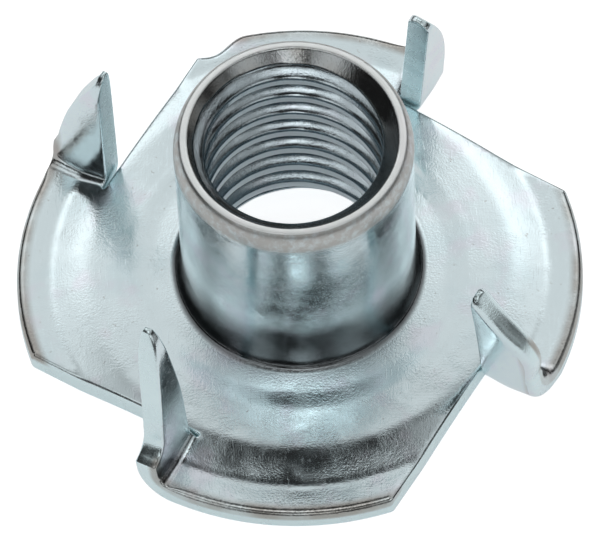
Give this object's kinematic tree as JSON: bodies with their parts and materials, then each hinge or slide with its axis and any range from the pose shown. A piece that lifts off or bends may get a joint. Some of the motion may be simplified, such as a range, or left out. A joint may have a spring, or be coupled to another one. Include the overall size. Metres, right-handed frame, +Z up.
{
  "type": "tee nut",
  "caption": "Pressed steel tee nut for wood: threaded barrel on a round flange whose edge is cut and bent up into pointed prongs.",
  "frame": {"origin": "on the barrel's axis, at the underside of the flange's rim", "axes": "+Z up the barrel from the flange to its mouth, +X through the middle of the first lobe of the flange"},
  "size_m": [0.022, 0.022, 0.0108],
  "materials": {
    "zinc_steel": "bright zinc plating, glossy with fine scratches"
  },
  "bodies": {
    "root": {"tee_nut": "zinc_steel"}
  },
  "joints": []
}
